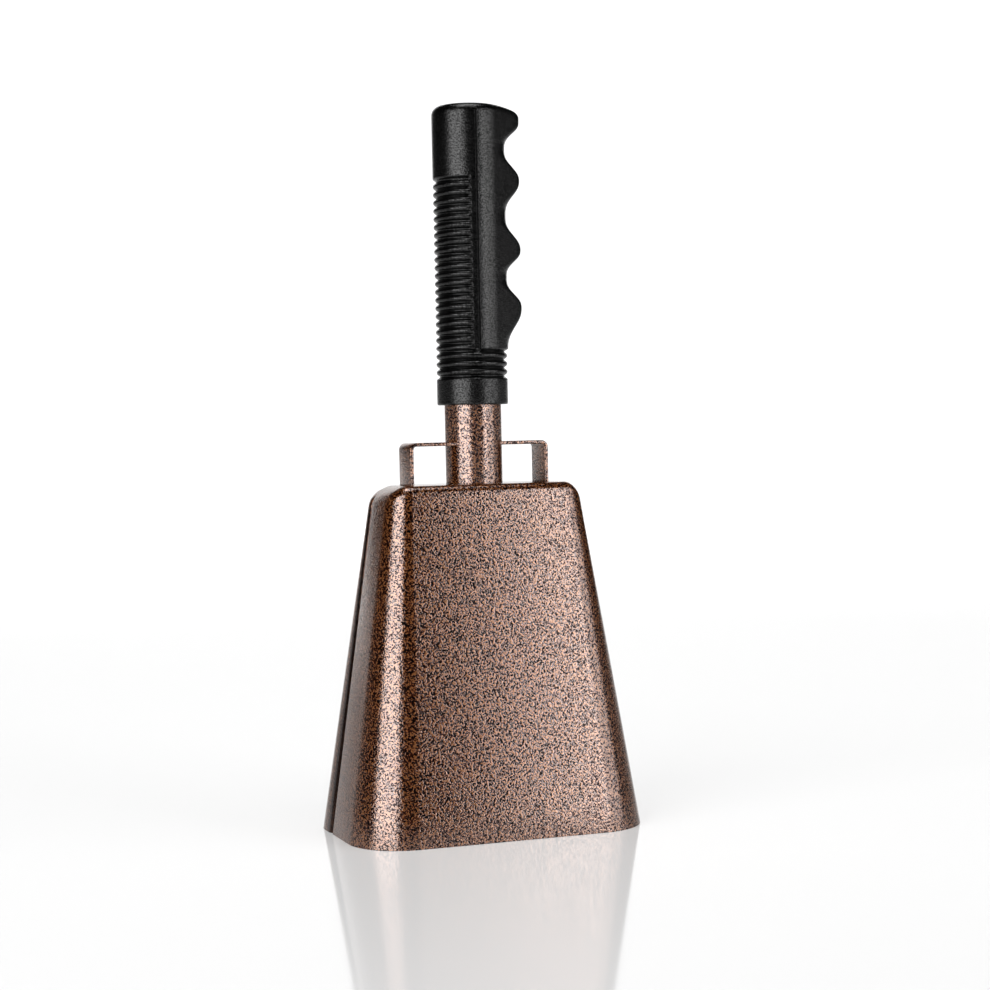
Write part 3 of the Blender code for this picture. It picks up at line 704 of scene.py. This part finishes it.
def bump(tree, shader, height, distance):
    node = add(tree, "ShaderNodeBump")
    node.inputs["Strength"].default_value = 1.0
    node.inputs["Distance"].default_value = distance
    tree.links.new(height, node.inputs["Height"])
    tree.links.new(node.outputs["Normal"], shader.inputs["Normal"])


def fleck_group():
    """Hammer-finish enamel: small crooked pits, the light net between them and changes of tone; the pits
    lie in the bump's hollows, and their dark colour is partly painted shade.
    """
    tree = bpy.data.node_groups.new("hammer_flecks", "ShaderNodeTree")
    tree.interface.new_socket("Vector", in_out="INPUT", socket_type="NodeSocketVector")
    size = tree.interface.new_socket("Flecks per metre", in_out="INPUT", socket_type="NodeSocketFloat")
    size.default_value = FLECKS_PER_METRE
    for name in ("Pit", "Glow", "Tone", "Height"):
        tree.interface.new_socket(name, in_out="OUTPUT", socket_type="NodeSocketFloat")
    inlet = add(tree, "NodeGroupInput")
    outlet = add(tree, "NodeGroupOutput")
    turned = add(tree, "ShaderNodeMapping")
    turned.inputs["Rotation"].default_value = FLECK_TURN
    tree.links.new(inlet.outputs["Vector"], turned.inputs["Vector"])
    vector = turned.outputs["Vector"]
    fine = noise(tree, vector, FLECKS_PER_METRE, 0.6)
    fine.inputs["Distortion"].default_value = FLECK_TWIST
    tree.links.new(inlet.outputs["Flecks per metre"], fine.inputs["Scale"])
    pits_and_painted_shade = remap(tree, fine.outputs["Fac"], *PIT_RANGE)
    glow = remap(tree, fine.outputs["Fac"], *GLOW_RANGE)
    tone = remap(tree, noise(tree, vector, TONES_PER_METRE, 2.0).outputs["Fac"], *TONE_RANGE)
    for name, value in (("Pit", pits_and_painted_shade), ("Glow", glow), ("Tone", tone), ("Height", fine.outputs["Fac"])):
        tree.links.new(value, outlet.inputs[name])
    return tree


def painted_seam_shade(tree, place):
    """Painted shade on the set-in strip beside the front half's edge, where the lap lies in shadow."""
    parts = add(tree, "ShaderNodeSeparateXYZ")
    tree.links.new(place, parts.inputs["Vector"])
    far_edge = reckon(tree, "MULTIPLY_ADD", parts.outputs["Z"], SEAM_TAPER, parts.outputs["Y"])
    begun = remap(tree, parts.outputs["Y"], SEAM_NEAR, SEAM_FULL)
    ended = remap(tree, far_edge, SEAM_FAR + SEAM_FAR_SOFT, SEAM_FAR - SEAM_FAR_SOFT)
    below_crown = remap(tree, parts.outputs["Z"], *SEAM_TOP)
    return reckon(tree, "MULTIPLY", reckon(tree, "MULTIPLY", begun, ended), below_crown)


def hammered_copper(flecks):
    made, tree, shader = new_material("hammered_enamel")
    coords = add(tree, "ShaderNodeTexCoord")
    group = add(tree, "ShaderNodeGroup")
    group.node_tree = flecks
    tree.links.new(coords.outputs["Object"], group.inputs["Vector"])
    tone = blend_color(tree, *ENAMEL_TONES, group.outputs["Tone"])
    net = blend_color(tree, tone, ENAMEL_GLOW, group.outputs["Glow"])
    # Painted shade in the lap beside the front half's edge, joined with the pits below.
    seam = reckon(tree, "MULTIPLY", painted_seam_shade(tree, coords.outputs["Object"]), SEAM_SHADE_STRENGTH)
    # The pits' dark colour lies in the bump's hollows: partly the enamel's own, partly painted shade.
    pits_and_painted_shade = reckon(tree, "MAXIMUM", group.outputs["Pit"], seam)
    color = blend_color(tree, net, PIT_AND_PAINTED_SHADE_COLOR, pits_and_painted_shade)
    tree.links.new(color, shader.inputs["Base Color"])
    tree.links.new(remap(tree, pits_and_painted_shade, *ENAMEL_METAL), shader.inputs["Metallic"])
    shader.inputs["Roughness"].default_value = ENAMEL_ROUGHNESS
    shader.inputs["IOR"].default_value = ENAMEL_INDEX
    bump(tree, shader, group.outputs["Height"], ENAMEL_BUMP)
    return made


def black_vinyl():
    made, tree, shader = new_material("moulded_vinyl")
    coords = add(tree, "ShaderNodeTexCoord")
    grain = noise(tree, coords.outputs["Object"], GRAINS_PER_METRE, 1.0, 0.6).outputs["Fac"]
    color = blend_color(tree, *VINYL_TONES, grain)
    tree.links.new(color, shader.inputs["Base Color"])
    tree.links.new(remap(tree, grain, *VINYL_METAL), shader.inputs["Metallic"])
    shader.inputs["Roughness"].default_value = VINYL_ROUGHNESS
    shader.inputs["IOR"].default_value = VINYL_INDEX
    bump(tree, shader, grain, VINYL_BUMP)
    return made


def bare_steel():
    made, tree, shader = new_material("plated_steel")
    coords = add(tree, "ShaderNodeTexCoord")
    wear = noise(tree, coords.outputs["Object"], WEAR_PER_METRE, 4.0).outputs["Fac"]
    color = blend_color(tree, *STEEL_TONES, wear)
    tree.links.new(color, shader.inputs["Base Color"])
    shader.inputs["Metallic"].default_value = 1.0
    dull = remap(tree, wear, 0.0, 1.0, *STEEL_ROUGHNESS, curve="LINEAR")
    tree.links.new(dull, shader.inputs["Roughness"])
    return made


# Studio

def camera():
    ahead = AHEAD * math.cos(CAMERA_PITCH) - UP * math.sin(CAMERA_PITCH)
    above = UP * math.cos(CAMERA_PITCH) + AHEAD * math.sin(CAMERA_PITCH)
    right = RIGHT * math.cos(CAMERA_ROLL) + above * math.sin(CAMERA_ROLL)
    above = above * math.cos(CAMERA_ROLL) - RIGHT * math.sin(CAMERA_ROLL)
    data = bpy.data.cameras.new("camera")
    data.lens = LENS
    data.sensor_width = FILM_WIDTH
    data.clip_start = 0.01
    made = bpy.data.objects.new("camera", data)
    bpy.context.scene.collection.objects.link(made)
    turn = Matrix((right, above, -ahead)).transposed().to_4x4()
    made.matrix_world = Matrix.Translation(CAMERA_SPOT) @ turn
    bpy.context.scene.camera = made


def soft_light(name, bearing, elevation, width, height, radiance):
    """A rectangular lamp; bearing is in degrees to the right of the camera, seen from the bell."""
    turn = math.radians(bearing)
    rise = math.radians(elevation)
    level = -AHEAD * math.cos(turn) + RIGHT * math.sin(turn)
    out = level * math.cos(rise) + UP * math.sin(rise)
    data = bpy.data.lights.new(name, "AREA")
    data.shape = "RECTANGLE"
    data.size = width
    data.size_y = height
    data.energy = radiance * math.pi * width * height
    made = bpy.data.objects.new(name, data)
    bpy.context.scene.collection.objects.link(made)
    made.location = LAMP_AIM + out * LAMP_DISTANCE
    made.rotation_euler = (-out).to_track_quat("-Z", "Y").to_euler()
    made.visible_camera = False


def seen(tree, kinds):
    """1 for the kinds of ray named, 0 for all others."""
    path = add(tree, "ShaderNodeLightPath")
    value = path.outputs[kinds[0]]
    for kind in kinds[1:]:
        value = reckon(tree, "MAXIMUM", value, path.outputs[kind])
    return value


def stage_sheet(name, size, matrix, roughness, glow, near=1.0):
    """A pale sheet; its glow is the near share of itself about the object and grows to full outwards."""
    finish, tree, shader = new_material(name)
    shader.inputs["Base Color"].default_value = SHEET_COLOR
    shader.inputs["Roughness"].default_value = roughness
    coords = add(tree, "ShaderNodeTexCoord")
    away = add(tree, "ShaderNodeVectorMath", operation="LENGTH")
    tree.links.new(coords.outputs["Object"], away.inputs[0])
    spread = remap(tree, away.outputs["Value"], *FADE)
    shine = blend_color(tree, (near, near, near), GLOW_COLOR, spread)
    tree.links.new(shine, shader.inputs["Emission Color"])
    lit = seen(tree, ("Is Camera Ray", "Is Glossy Ray", "Is Transmission Ray"))
    tree.links.new(reckon(tree, "MULTIPLY", lit, glow), shader.inputs["Emission Strength"])
    shape = bmesh.new()
    bmesh.ops.create_grid(shape, x_segments=1, y_segments=1, size=size, matrix=matrix)
    mesh = bpy.data.meshes.new(name)
    shape.to_mesh(mesh)
    shape.free()
    mesh.materials.append(finish)
    sheet = bpy.data.objects.new(name, mesh)
    bpy.context.scene.collection.objects.link(sheet)


def studio():
    world = bpy.data.worlds.new("studio")
    bpy.context.scene.world = world
    world.use_nodes = True
    tree = world.node_tree
    tree.nodes.clear()
    pick = add(tree, "ShaderNodeMixShader")
    tree.links.new(seen(tree, ("Is Camera Ray",)), pick.inputs[0])
    for place, level in ((1, WORLD_LIGHT), (2, WORLD_SEEN)):
        room = add(tree, "ShaderNodeBackground")
        room.inputs["Color"].default_value = (level, level, level, 1)
        tree.links.new(room.outputs[0], pick.inputs[place])
    out = add(tree, "ShaderNodeOutputWorld")
    tree.links.new(pick.outputs[0], out.inputs["Surface"])

    for lamp in LAMPS:
        soft_light(*lamp)
    stage_sheet("floor", 12.0, Matrix(), roughness=0.08, glow=0.8, near=0.25)
    upright = Matrix.Rotation(-HEADING, 4, "Z") @ Matrix.Rotation(math.radians(90), 4, "X")
    behind = Matrix.Translation(AHEAD * 2.5 + UP * 1.0)
    stage_sheet("backdrop", 1.1, behind @ upright, roughness=1.0, glow=1.0)


bpy.context.scene.view_settings.view_transform = "Standard"
camera()
studio()

copper = hammered_copper(fleck_group())
vinyl = black_vinyl()
steel = bare_steel()

pressed_half("front_shell", copper, -1, BELL_HEIGHT, FRONT_FLAP)
pressed_half("rear_shell", copper, 1, BELL_HEIGHT - LAP, REAR_FLAP)
handle_tube(copper)
strap(copper)
finger_grip(vinyl)
staple(steel)
link(steel)
rod(steel)
ball(steel)
